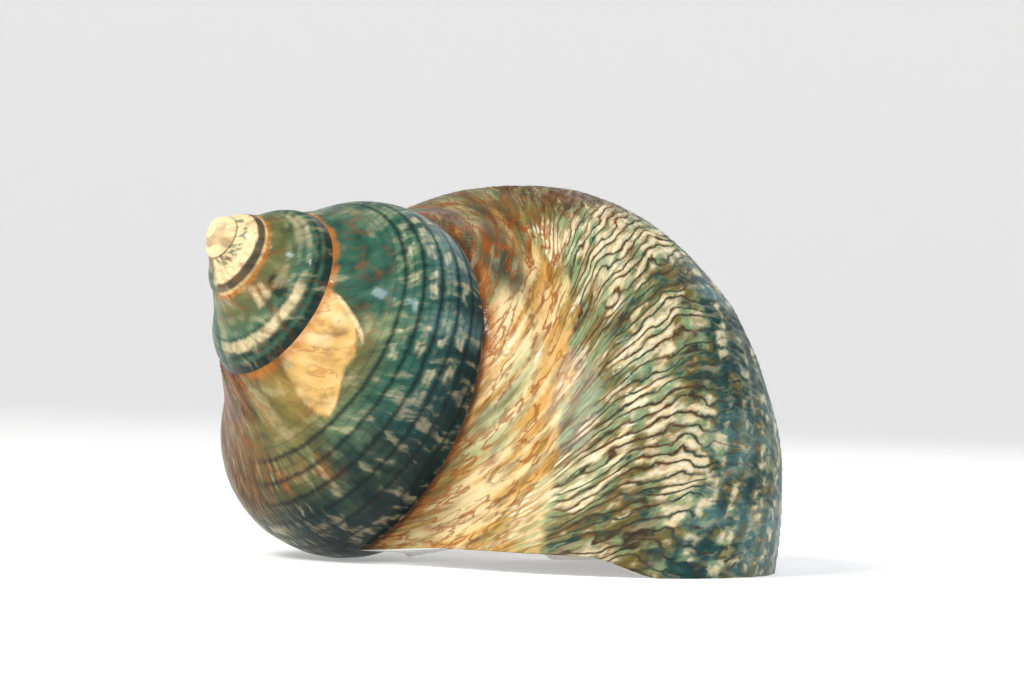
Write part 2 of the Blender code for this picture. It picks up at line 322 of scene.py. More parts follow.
@dataclass(frozen=True)
class Mouth:
    """Lip, pillar and hollow.

    Attributes:
        growth: Law of growth.
        lie: How the shell lies.
        arch: Height of the lip's arch, and the angles where it starts, is full, wanes and ends.
        turn_back: Turns over which growth lines lean into the lip.
        wall: Thickness of the wall, at age 0.
        callus: Thickness over the turn before.
        pillar: Distance from the axis at which the base ends.
        axis_gap: Distance that the hollow keeps from the axis.
        roundness: Exponent that rounds the hollow's corners.
        turns: Length of the hollow.
        end_turns: Length of its rounded end.
        slope_turns: Turns over which its rings lean into the mouth's edge.
        search: Ages between which the lip is looked for.
    """

    growth: Growth
    lie: Lie
    arch: tuple[float, float, float, float, float] = (
        0.0052, math.radians(12.0), math.radians(38.0), math.radians(74.0), math.radians(108.0))
    turn_back: float = 0.45
    wall: float = 0.0042
    callus: float = 0.0030
    pillar: float = 0.0090
    axis_gap: float = 0.0135
    roundness: float = 9.0
    turns: float = 1.5
    end_turns: float = 0.12
    slope_turns: float = 0.45
    search: Size = (-0.45, 0.12)

    def inner(self, age: Array, angle: Array) -> Pair:
        """Point of the hollow's wall: the section less the wall, cut by the pillar and the callus.

        The three limits are joined as the minus-roundness root of the sum of their powers.

        Args:
            age: Ages, in turns.
            angle: Angles on the section, in radians.

        Returns:
            Distances from the axis, and heights along it.
        """
        growth = self.growth
        radius, height = growth.centre(age)
        depth, place, width = growth.channel
        outer = growth.tube_radius * (growth.plain(angle) - depth * bump(angle, place, 1.4 * width))
        outer = outer - self.wall
        pillar = (growth.path_radius - self.axis_gap) / np.maximum(-np.cos(angle), TINY)
        apart = (1.0 - 1.0 / growth.per_turn) * math.hypot(growth.path_radius, growth.path_drop)
        facing = math.atan2(growth.path_drop, -growth.path_radius)
        clear = apart - growth.tube_radius / growth.per_turn - self.callus
        parietal = clear / np.maximum(np.cos(angle - facing), TINY)
        power = -self.roundness
        reach = (outer**power + pillar**power + parietal**power) ** (1.0 / power)
        reach = reach * growth.size(age)
        return radius + reach * np.cos(angle), height + reach * np.sin(angle)

    def rim_height(self, angle: Array) -> Array:
        """Height of the lip over the ground: none, but for the arch beside the suture.

        Args:
            angle: Angles on the section, in radians.

        Returns:
            Heights, in metres.
        """
        tall, start, full, wane, end = self.arch
        turned = np.where(angle < -math.pi, angle + 2.0 * math.pi, angle)
        return tall * rise(turned, start, full) * rise(turned, end, wane)

    def come_down(self, shape: tuple[int, ...], place: Callable[[Array], tuple[Array, ...]]) -> Array:
        """Ages at which a curve that winds on with age comes down to the rim, found by halving.

        Args:
            shape: Shape of the ages.
            place: Distance from the axis, height along it and section angle, for each age.

        Returns:
            The ages.
        """
        early, late = np.full(shape, self.search[0]), np.full(shape, self.search[1])
        for _ in range(SEARCH_STEPS):
            middle = 0.5 * (early + late)
            radius, height, angle = place(middle)
            above = self.lie.place(radius, height, middle)[..., 2] > self.rim_height(angle)
            early, late = np.where(above, middle, early), np.where(above, late, middle)
        return 0.5 * (early + late)

    def edge_age(self, surface: Callable[[Array, Array], Pair], angle: Array) -> Array:
        """Ages at which a surface, given as Growth.skin is, meets the rim at the given angles."""
        return self.come_down(np.shape(angle), lambda age: (*surface(age, angle), angle))

    def suture_age(self) -> float:
        """Age at which the suture comes down to the lip."""
        growth = self.growth
        return float(self.come_down((), lambda age: (*growth.suture(age), growth.suture_polar(age)[0])))

    def pillar_angle(self) -> float:
        """Angle at which the base meets the pillar, found by repeating.

        Returns:
            The angle, in radians.
        """
        growth = self.growth
        angle = math.radians(-140.0)
        for _ in range(SEARCH_STEPS):
            reach = growth.tube_radius * growth.plain(angle)
            angle = -math.acos((self.pillar - growth.path_radius) / reach)
        return angle


@dataclass(frozen=True)
class Spot:
    """Places on the skin, in the ways that relief and paint measure them.

    Attributes:
        age: Ages, in turns.
        angle: Angles on the section, in degrees.
        along: Length of growth up to the place's growth line, in metres.
        across: Length along the section from its outermost point, in metres.
        share: Part of the way from the upper suture, 0, to the lower one, 1.
    """

    age: Array
    angle: Array
    along: Array
    across: Array
    share: Array

    @staticmethod
    def of(growth: Growth, age: Array, angle: Array, share: Array) -> "Spot":
        """Work out every measure from ages, angles in radians and shares.

        A growth line leans forward towards the suture: its lag eases out as 1 - exp(-x) with the
        angle x from the suture, plus an even part. The length of growth is a rate times the size.

        Args:
            growth: Law of growth.
            age: Ages, in turns.
            angle: Angles on the section, in radians.
            share: Shares of the way from suture to suture.

        Returns:
            The places.
        """
        degrees = np.degrees(angle)
        from_suture = np.clip(np.degrees(growth.suture_polar(age)[0]) - degrees, 0.0, None)
        lag = growth.lag[0] * (1.0 - np.exp(-from_suture / growth.lag[1]))
        lag = lag + growth.slow_lag[0] * from_suture / growth.slow_lag[1]
        early, start, end = growth.early_lag
        line = age + lag * (early + (1.0 - early) * rise(age, start, end))
        along = growth.line_rate * growth.size(line)
        across = growth.tube_radius * growth.size(age) * angle
        return Spot(age, degrees, along, across, share)

    def cells(self, along: float, across: float) -> Pair:
        """Places counted in cells of the given millimetres along and across growth."""
        return self.along / (along * MM), self.across / (across * MM)


@dataclass(frozen=True)
class Relief:
    """Sculpture of the skin: growth ridges, spiral cords, and the crimped edge by the suture.

    Attributes:
        ridge_height: Height of the growth ridges on the last turn's shoulder.
        ridge_pitch: Distance from ridge to ridge.
        warps: Noises that bend the ridges: seed, height in ridges, and cell along and across in mm.
        cord_height: Height of the spiral cords on the last turn.
        cord_pitch: Angle from cord to cord on the last turn; earlier turns have half as many.
        cord_growth: Share of the cords' height gained with each metre of growth, up to 1.
        free_age: Age after which no later turn covers the base.
    """

    ridge_height: float = 0.85 * MM
    ridge_pitch: float = 3.7 * MM
    warps: tuple[tuple[int, float, float, float], ...] = (
        (3, 1.10, 15.0, 10.0), (4, 0.55, 6.0, 6.0), (5, 0.28, 3.0, 3.0))
    cord_height: float = 0.22 * MM
    cord_pitch: float = 6.2
    cord_growth: float = 3.0
    free_age: float = -1.0

    def phase(self, spot: Spot) -> Array:
        """Count of growth ridges so far: the length of growth over their pitch, warped by noise.

        Args:
            spot: Places on the skin.

        Returns:
            Counts of ridges.
        """
        warp = 0.0
        for seed, height, along, across in self.warps:
            warp = warp + height * Grain(seed).at(*spot.cells(along, across))
        return spot.along / self.ridge_pitch + warp

    def ridges(self, spot: Spot) -> Array:
        """Growth ridges, 0 in a groove and 1 on a broad crest: a root of the phase's sine."""
        return np.abs(np.sin(math.pi * self.phase(spot))) ** CREST_ROOT

    def ridge_share(self, spot: Spot) -> Array:
        """Strength of the ridges: full on the last turn's shoulder, and none on early turns.

        Args:
            spot: Places on the skin.

        Returns:
            Strengths, from 0 to 1.
        """
        by_age = rise(spot.age, -1.05, -0.45) * 0.96 + 0.04 * rise(spot.age, -2.5, -1.0)
        shoulder = rise(spot.angle, 55.0, 40.0) * (0.40 + 0.60 * rise(spot.angle, -30.0, 20.0))
        patches = 0.55 + 0.45 * Grain(7).layers(*spot.cells(16.0, 13.0), 2)
        return by_age * shoulder * np.clip(patches, 0.12, 1.0)

    def cords(self, spot: Spot) -> Array:
        """Spiral cords, 0 in a groove and 1 on a cord, twice as many on the last turn.

        Args:
            spot: Places on the skin.

        Returns:
            Values from 0 to 1.
        """
        sway = 0.10 * Grain(11).at(spot.along / (25 * MM), spot.angle / 20.0)
        fine = 0.5 + 0.5 * np.cos(2.0 * math.pi * (spot.angle / self.cord_pitch + sway))
        broad = 0.5 + 0.5 * np.cos(2.0 * math.pi * (spot.angle / (2.0 * self.cord_pitch) + sway - 0.25))
        late = rise(spot.age, -0.98, -0.80)
        return broad * (1.0 - late) + fine * late

    def height(self, spot: Spot) -> Array:
        """Height of the relief over the plain skin, in metres, none on either suture.

        Args:
            spot: Places on the skin.

        Returns:
            Heights, in metres.
        """
        ridges = self.ridge_height * (self.ridges(spot) - 0.6) * self.ridge_share(spot)
        place = rise(spot.angle, 60.0, 30.0)
        cord_share = (0.30 + 0.70 * rise(spot.age, -1.0, -0.5)) * place
        grown = np.minimum(1.0, self.cord_growth * spot.along)
        cords = self.cord_height * grown * (self.cords(spot) - 0.5) * cord_share
        crimp = Grain(13).layers(spot.along / (1.6 * MM), spot.share * 8.0, 2)
        crimp = crimp * bump(spot.share, 0.02, 0.018) * 0.30 * MM * rise(spot.age, -3.0, -1.0)
        swell = 0.35 * MM * Grain(15).layers(*spot.cells(22.0, 18.0), 2)
        swell = swell * rise(spot.age, -2.2, -0.6)
        swell = swell + 0.8 * MM * Paint.break_line(spot) - 0.25 * MM * Paint.worn(spot)
        upper = rise(spot.share, 0.0, 0.012)
        seated = rise(spot.share, 0.985, 1.0) * rise(spot.age, self.free_age + 0.05, self.free_age)
        return (ridges + cords + crimp + swell) * upper * (1.0 - seated)


class Tone(Enum):
    """Colours of the shell as a screen shows them, from 0 to 255."""

    TEAL = (26, 66, 64)
    NIGHT = (12, 26, 28)
    GREEN = (54, 96, 76)
    PALE_GREEN = (136, 158, 116)
    OLIVE = (112, 98, 44)
    CREAM = (228, 206, 160)
    SLATE = (96, 134, 136)
    CHALK = (220, 220, 206)
    GOLD = (206, 160, 86)
    RUST = (140, 74, 24)
    BROWN = (84, 48, 20)
    ORANGE = (184, 108, 40)
    PEACH = (244, 210, 160)
    WHITE = (240, 234, 222)

    @property
    def linear(self) -> Array:
        """The colour in linear light, from 0 to 1."""
        shown = np.array(self.value, float) / 255.0
        return np.where(shown <= 0.04045, shown / 12.92, ((shown + 0.055) / 1.055) ** 2.4)

    @property
    def rgba(self) -> tuple[float, float, float, float]:
        """The linear colour with an alpha of 1."""
        red, green, blue = (float(c) for c in self.linear)
        return red, green, blue, 1.0


class Paint:
    """Colours of the skin, worked out place by place."""

    @staticmethod
    def coats(tone: Tone, *over: tuple[Tone, Array]) -> Array:
        """A tone all over, with further tones laid over it in turn, each by a share from 0 to 1.

        Args:
            tone: The first tone.
            over: Further tones, each with its share.

        Returns:
            Colours in linear light.
        """
        ground = tone.linear
        for coat, share in over:
            share = np.clip(share, 0.0, 1.0)[..., None]
            ground = ground * (1.0 - share) + coat.linear * share
        return ground

    @staticmethod
    def pack(ground: Array, crest: Array | float, *marks: Array | float) -> Pair:
        """Ground with the share of creamy crests, and marks: rust, lines, checks and grooves.

        Args:
            ground: Ground colour.
            crest: Share of creamy crests.
            marks: Rust, lines, checks and grooves.

        Returns:
            Two arrays of four channels.
        """
        shape = ground.shape[:-1]
        crest = np.broadcast_to(np.clip(crest, 0.0, 1.0), shape)[..., None]
        return np.concatenate([ground, crest], -1), np.stack([np.broadcast_to(m, shape) for m in marks], -1)

    @staticmethod
    def noise(spot: Spot, seed: int, along: float, across: float) -> Array:
        """Noise from about -1 to 1 with cells of the given millimetres along and across growth."""
        return Grain(seed).layers(*spot.cells(along, across), 2)

    @staticmethod
    def break_line(spot: Spot) -> Array:
        """Raised line where the shell's edge once broke and mended, beside the worn patch."""
        line = bump(spot.age + 0.0019 * (spot.angle - 70.0), -1.206, 0.0038)
        return line * band(spot.angle, 65.0, 84.0, 3.0)

    @staticmethod
    def worn(spot: Spot) -> Array:
        """Patch on the turn before the last where the upper layer is worn away.

        Its lower edge runs straight between a few angles at set ages, and noise makes it uneven.

        Args:
            spot: Places on the skin.

        Returns:
            Shares, 1 on the patch.
        """
        ages = (-1.238, -1.209, -1.176, -1.139, -1.116, -1.102, -1.090, -1.078)
        edges = (86.0, 71.0, 67.0, 64.0, 57.5, 56.0, 62.0, 72.0)
        t = spot.age + 0.0020 * Grain(42).layers(*spot.cells(7.0, 5.0))
        low = np.interp(t, ages, edges) + 1.5 * Grain(43).at(*spot.cells(5.0, 30.0))
        return band(t, ages[0], ages[-1], 0.004) * rise(spot.angle, low - 1.5, low + 1.5)

    def last_turn(self, spot: Spot) -> Pair:
        """Ground and marks of the last turn, as pack gives them.

        The top is olive, brown and pale green. A golden stripe with a crisp lower edge runs below a
        paler channel, the shoulder has creamy crests, and the base is teal with light squares.

        Args:
            spot: Places on the skin.

        Returns:
            The two arrays.
        """
        t, a = spot.age, spot.angle
        wide = self.noise(spot, 31, 12.0, 26.0)
        edge = self.noise(spot, 32, 8.0, 7.0)
        fleck = self.noise(spot, 33, 5.0, 11.0)
        olive = rise(a + 6 * edge, 2.0, 34.0)
        early = rise(t + 0.02 * edge, -0.36, -0.44)
        top = olive * early
        fringe = band(a, 50.0, 68.0, 4.0) * rise(t, -0.42, -0.36)
        low_edge = 62.5 - 14.0 * rise(t, -0.37, -0.41) - 14.0 * rise(t, -0.24, -0.15) + 2.0 * edge
        gold = rise(a, low_edge - 1.2, low_edge + 1.2) * rise(t + 0.03 * wide, -0.42, -0.36)
        gold = gold * (1.0 - rise(a, 72.0, 77.0) * rise(t, -0.30, -0.36))
        channel = rise(a + 2 * edge, 72.0, 77.0) * rise(t, -0.36, -0.31)
        under = rise(a, -40.0, -75.0)
        callus = rise(a + 4 * edge, -104.0, -118.0)
        ground = self.coats(
            Tone.TEAL,
            (Tone.GREEN, 0.5 * olive),
            (Tone.SLATE, rise(a, 22.0, 4.0) * rise(wide + 0.5 * edge, -0.2, 0.8) * 0.55),
            (Tone.OLIVE, top * (0.6 + 0.4 * wide)),
            (Tone.BROWN, top * rise(wide + 0.3 * fleck, 0.0, 0.5) * 0.85),
            (Tone.PALE_GREEN, top * rise(-wide + 0.3 * fleck, 0.1, 0.6) * 0.75),
            (Tone.BROWN, early * band(a, 14.0, 50.0, 12.0) * 0.35),
            (Tone.GOLD, early * rise(a, 44.0, 60.0) * rise(fleck, -0.2, 0.6) * 0.45),
            (Tone.NIGHT, 0.35 * band(a, 20.0, 64.0, 6.0) * rise(t, -0.33, -0.26)),
            (Tone.BROWN, 0.55 * band(a, 16.0, 60.0, 8.0) * rise(wide + fleck, -0.3, 0.4)),
            (Tone.BROWN, fringe * np.clip(0.50 - 0.6 * fleck, 0.0, 1.0)),
            (Tone.PALE_GREEN, fringe * rise(fleck, 0.0, 0.5) * 0.7),
            (Tone.GOLD, gold * 0.86),
            (Tone.ORANGE, gold * rise(fleck, 0.0, -0.5) * 0.20),
            (Tone.CREAM, gold * rise(fleck, -0.25, 0.50) * 0.62),
            (Tone.CREAM, channel * rise(fleck, -0.5, 0.2) * 0.6),
            (Tone.PALE_GREEN, channel * rise(wide, -0.1, 0.4) * rise(t, -0.13, -0.18) * 0.65),
            (Tone.BROWN, rise(a, 66.0, 76.0) * rise(t, -0.32, -0.38) * (0.4 + 0.4 * edge)),
            (Tone.OLIVE, rise(t, -0.20, -0.13) * rise(a, 73.0, 82.0) * 0.6),
            (Tone.ORANGE, rise(spot.share, 0.035, 0.015) * rise(fleck, -0.3, 0.3) * 0.7),
            (Tone.BROWN, rise(spot.share, 0.016, 0.004)),
            (Tone.GREEN, under * (0.5 + 0.5 * wide)),
            (Tone.CREAM, under * rise(fleck, 0.0, 0.5) * 0.7),
            (Tone.WHITE, callus),
        )
        crest = band(a, 12.0, 66.0, 5.0) * (0.30 + 0.85 * rise(t, -0.46, -0.38))
        crest = crest * (1.0 - 0.36 * rise(t, -0.32, -0.25) * rise(a, 16.0, 26.0))
        crest = np.maximum(crest, 0.42 * band(a, -42.0, 14.0, 8.0))
        crest = crest * (0.80 + 0.65 * self.noise(spot, 35, 18.0, 15.0))
        rust = 0.30 + 0.60 * rise(a, 56.0, 66.0)
        rust = rust * (1.0 - rise(a, 26.0, 8.0)) + 0.5 * early * rise(a, 20.0, 40.0)
        lines = 0.30 * rise(a, 20.0, 4.0)
        checks = rise(a, 20.0, 10.0) * rise(a, -60.0, -30.0)
        grooves = rise(a, 70.0, 58.0) * (1.0 - 0.4 * rise(a, 12.0, -10.0)) * (1.0 - gold)
        bare = 1.0 - callus
        return self.pack(ground, crest * bare, rust * bare, lines * bare, checks * bare, grooves * bare)

    def penultimate(self, spot: Spot) -> Pair:
        """Ground and marks of the turn before the last: teal, with checks and the worn patch.

        Args:
            spot: Places on the skin.

        Returns:
            The two arrays.
        """
        t, a = spot.age, spot.angle
        wide = self.noise(spot, 41, 9.0, 30.0)
        edge = self.noise(spot, 42, 3.0, 3.0)
        worn = self.worn(spot)
        late = rise(t, -1.10, -1.06) * band(a, 28.0, 54.0, 5.0)
        slate = band(t, -1.46, -1.22, 0.04) * rise(a, 44.0, 24.0)
        ground = self.coats(
            Tone.TEAL,
            (Tone.GREEN, rise(a, 10.0, 50.0) * 0.75),
            (Tone.PALE_GREEN, rise(wide + 0.5 * edge, 0.0, 0.9) * band(a, -4.0, 70.0, 10.0) * 0.4),
            (Tone.PALE_GREEN, rise(t, -1.36, -1.44) * rise(wide, -0.5, 0.5) * rise(a, 0.0, 40.0) * 0.7),
            (Tone.OLIVE, band(t, -1.22, -1.02, 0.04) * rise(a, 40.0, 66.0) * 0.65),
            (Tone.GOLD, band(t, -1.16, -1.0, 0.04) * rise(a, 56.0, 76.0) * rise(wide, -0.2, 0.5) * 0.5),
            (Tone.NIGHT, rise(a, 24.0, -6.0) * 0.55),
            (Tone.SLATE, slate * rise(wide, -0.6, 0.3) * 0.5),
            (Tone.NIGHT, rise(t, -1.17, -1.13) * rise(a, 60.0, 20.0) * 0.6),
            (Tone.GOLD, worn * 0.97),
            (Tone.CREAM, worn * (0.14 + 0.5 * rise(self.noise(spot, 43, 5.0, 4.0), -0.1, 0.6))),
            (Tone.CREAM, rise(self.break_line(spot), 0.3, 0.8) * 0.8),
            (Tone.OLIVE, rise(t, -1.12, -1.04) * rise(a, 14.0, 44.0) * 0.6),
            (Tone.RUST, late * rise(self.noise(spot, 44, 5.0, 5.0), 0.1, 0.6) * 0.65),
            (Tone.ORANGE, rise(spot.share + 0.010 * edge, 0.030, 0.008) * 0.7),
        )
        checks = 0.62 * band(a, 2.0, 56.0, 6.0) * band(t, -1.44, -1.19, 0.03)
        rust = 0.03 + 0.42 * rise(a, 54.0, 68.0) + 0.35 * late
        lines = 0.85 * (1.0 - worn) * rise(a, 66.0, 58.0)
        return self.pack(ground, 0.0, rust, lines, checks, 0.25 * (1 - worn))

    def second(self, spot: Spot) -> Pair:
        """Ground and marks of the second whole turn: green, with pale bands and a round dark blotch; one
        pale band and one patch stand partly for a painted highlight.

        Args:
            spot: Places on the skin.

        Returns:
            The two arrays.
        """
        t, v = spot.age, spot.share
        edge = self.noise(spot, 52, 1.6, 1.6)
        # Cream bands. The first one, at ages -2.44 to -2.31, is cream and painted highlight together.
        cream = 0.40 * band(v + 0.03 * edge, 0.33, 0.60, 0.05) * band(t, -2.44, -2.31, 0.03)
        cream = np.maximum(cream, 0.85 * band(v + 0.03 * edge, 0.50, 0.66, 0.03) * rise(t, -2.24, -2.18))
        uneven = v + 0.04 * edge
        cream = np.maximum(cream, 0.9 * band(uneven, 0.06, 0.26, 0.03) * band(t, -2.147, -2.100, 0.006))
        # Patch of cream and painted highlight: it only keeps the dark middle line away from that place.
        highlight_and_cream_patch = 0.8 * band(uneven, 0.33, 0.56, 0.04) * band(t, -2.285, -2.225, 0.010)
        blotch = np.hypot((t + 2.176) / 0.026, (v - 0.27) / 0.15) + 0.12 * edge
        middle = bump(v, 0.47, 0.022) * 0.5 * (1 - np.maximum(cream, highlight_and_cream_patch))
        dark = np.maximum(np.maximum(middle, bump(v, 0.73, 0.035)), rise(v, 0.80, 0.88))
        ground = self.coats(
            Tone.GREEN,
            (Tone.OLIVE, rise(v, 0.5, 0.1) * 0.6),
            (Tone.CREAM, cream * 0.85),
            (Tone.NIGHT, rise(blotch, 1.1, 0.9) * 0.8),
            (Tone.NIGHT, dark * 0.85),
            (Tone.BROWN, bump(t + 0.003 * edge, -2.125, 0.004) * 0.8),
            (Tone.ORANGE, rise(v + 0.01 * edge, 0.040, 0.010) * 0.7),
        )
        rust = 0.25 + 0.4 * rise(v, 0.3, 0.0)
        return self.pack(ground, 0.0, rust, 0.0, 0.25 * band(v, 0.2, 0.7, 0.1), 0.2)

    def early(self, spot: Spot) -> Pair:
        """Ground and marks of the first turns: cream and peach, with a dark band.

        Args:
            spot: Places on the skin.

        Returns:
            The two arrays.
        """
        t, v = spot.age, spot.share
        edge = self.noise(spot, 62, 0.9, 0.9)
        dark = rise(v + 0.04 * self.noise(spot, 63, 2.5, 2.5), 0.55, 0.63) * rise(v, 0.90, 0.84)
        ground = self.coats(
            Tone.CREAM,
            (Tone.PEACH, 0.5 + 0.5 * edge),
            (Tone.GREEN, rise(v, 0.30, 0.18) * rise(edge, -0.2, 0.4) * rise(t, -3.5, -3.4) * 0.8),
            (Tone.NIGHT, dark * rise(t, -3.62, -3.48) * 0.9),
            (Tone.GOLD, rise(v, 0.85, 0.92) * 0.8 * rise(t, -3.7, -3.4)),
            (Tone.BROWN, rise(v, 0.035, 0.012) * 0.8 + rise(v, 0.975, 0.99) * 0.6),
            (Tone.PEACH, rise(t, -3.55, -3.75) * 0.9),
        )
        return self.pack(ground, 0.0, 0.30 * rise(t, -3.6, -3.4), 0.0, 0.0, 0.0)

    def layers(self, spot: Spot) -> Pair:
        """Ground and marks of any turn: each turn's own, eased into the next.

        Args:
            spot: Places on the skin.

        Returns:
            The two arrays.
        """
        ground, marks = self.early(spot)
        for turn, start in ((self.second, -2.96), (self.penultimate, -1.96), (self.last_turn, -0.98)):
            share = rise(spot.age, start - 0.03, start + 0.03)[..., None]
            if share.any():
                next_ground, next_marks = turn(spot)
                ground = ground * (1.0 - share) + next_ground * share
                marks = marks * (1.0 - share) + next_marks * share
        return ground, marks


@dataclass
class Stretch:
    """One stretch of the skin: a grid of places, and the numbers of their points.

    Attributes:
        age: Ages, one for each row and column.
        angle: Angles in radians.
        share: Shares of the way from suture to suture, above 1 on the base.
        numbers: Point numbers, or -1 where the grid has no point.
    """

    age: Array
    angle: Array
    share: Array
    numbers: Array

    def cells(self, rows: slice, columns: slice) -> Array:
        """Two triangles for each cell between the given rows and columns, as flat grid indices.

        Args:
            rows: Rows of the grid.
            columns: Columns of the grid.

        Returns:
            Three grid indices for each triangle.
        """
        index = np.arange(self.age.size).reshape(self.age.shape)[rows, columns]
        a, b, c, d = index[:-1, :-1], index[:-1, 1:], index[1:, 1:], index[1:, :-1]
        first, second = np.stack([a, d, c], -1), np.stack([a, c, b], -1)
        return np.concatenate([first.reshape(-1, 3), second.reshape(-1, 3)])

    def suture_zip(self) -> Array:
        """Triangles between column 0, which has every other row, and column 1, which has all.

        Returns:
            Three grid indices for each triangle.
        """
        width = self.age.shape[1]
        a = np.arange(0, self.age.shape[0] - 1, 2) * width
        p, q, r, b = a + 1, a + width + 1, a + 2 * width + 1, a + 2 * width
        faces = np.stack([a, q, p, a, b, q, b, r, q], -1)
        return faces.reshape(-1, 3)

    def start_zip(self) -> Array:
        """Triangles between row 0, which has every other column, and row 1, which has all.

        Returns:
            Three grid indices for each triangle.
        """
        width = self.age.shape[1]
        a = np.arange(0, width - 1, 2)
        b, p, q, r = a + 2, a + width, a + width + 1, a + width + 2
        faces = np.stack([a, p, q, a, q, b, b, q, r], -1)
        return faces.reshape(-1, 3)


@dataclass
class MeshParts:
    """Points and triangles collected for one mesh, with two maps and two colours at each corner."""

    points: list[Array] = field(default_factory=list)
    faces: list[Array] = field(default_factory=list)
    corners: list[Array] = field(default_factory=list)
    finishes: list[Array] = field(default_factory=list)
    count: int = 0

    def add(self, points: Array) -> Array:
        """Add points, and return their numbers in the same layout.

        Args:
            points: Places of the points.

        Returns:
            Point numbers.
        """
        flat = points.reshape(-1, 3)
        self.points.append(flat)
        numbers = np.arange(self.count, self.count + len(flat)).reshape(points.shape[:-1])
        self.count += len(flat)
        return numbers

    def place_of(self, numbers: Array) -> Array:
        """Places of points that were added earlier."""
        return np.concatenate(self.points)[numbers]

    def face(self, faces: Array, corners: Array, finish: int) -> None:
        """Add triangles of point numbers with a value row at each corner, leaving out flat ones.

        Args:
            faces: Three point numbers for each triangle.
            corners: Values at each triangle's corners, or one row of values for them all.
            finish: Number of the material.
        """
        corners = np.broadcast_to(corners, (*faces.shape, corners.shape[-1]))
        apart = (faces[:, 0] != faces[:, 1]) & (faces[:, 1] != faces[:, 2]) & (faces[:, 2] != faces[:, 0])
        kept = apart & (faces >= 0).all(axis=1)
        self.faces.append(faces[kept])
        self.corners.append(corners[kept])
        self.finishes.append(np.full(int(kept.sum()), finish))

    def make(self, name: str, materials: list[bpy.types.Material]) -> bpy.types.Object:
        """Make the object.

        Args:
            name: Name of the object and its mesh.
            materials: Materials, in the order of the finish numbers.

        Returns:
            The object, at the origin.
        """
        points = np.concatenate(self.points)
        faces = np.concatenate(self.faces)
        corners = np.concatenate(self.corners).reshape(-1, VALUES)
        mesh = bpy.data.meshes.new(name)
        mesh.vertices.add(len(points))
        mesh.vertices.foreach_set("co", points.astype(np.float32).ravel())
        mesh.loops.add(faces.size)
        mesh.loops.foreach_set("vertex_index", faces.astype(np.int32).ravel())
        mesh.polygons.add(len(faces))
        mesh.polygons.foreach_set("loop_start", np.arange(0, faces.size, 3, dtype=np.int32))
        mesh.polygons.foreach_set("material_index", np.concatenate(self.finishes).astype(np.int32))
        mesh.update(calc_edges=True)
        for layer, first in (("growth", 0), ("pattern", 2)):
            uv = mesh.uv_layers.new(name=layer)
            uv.data.foreach_set("uv", corners[:, first:first + 2].astype(np.float32).ravel())
        for layer, first in (("ground", 4), ("marks", 8)):
            colour = mesh.color_attributes.new(layer, "FLOAT_COLOR", "CORNER")
            colour.data.foreach_set("color", corners[:, first:first + 4].astype(np.float32).ravel())
        for material in materials:
            mesh.materials.append(material)
        mesh.shade_smooth()
        bad = mesh.validate()
        LOG.info("%s: %d points, %d triangles, repaired %s", name, len(points), len(faces), bad)
        piece = bpy.data.objects.new(name, mesh)
        bpy.context.scene.collection.objects.link(piece)
        return piece


class Finish(Enum):
    """Number of each material on the shell."""

    SKIN = 0
    PEARL = 1


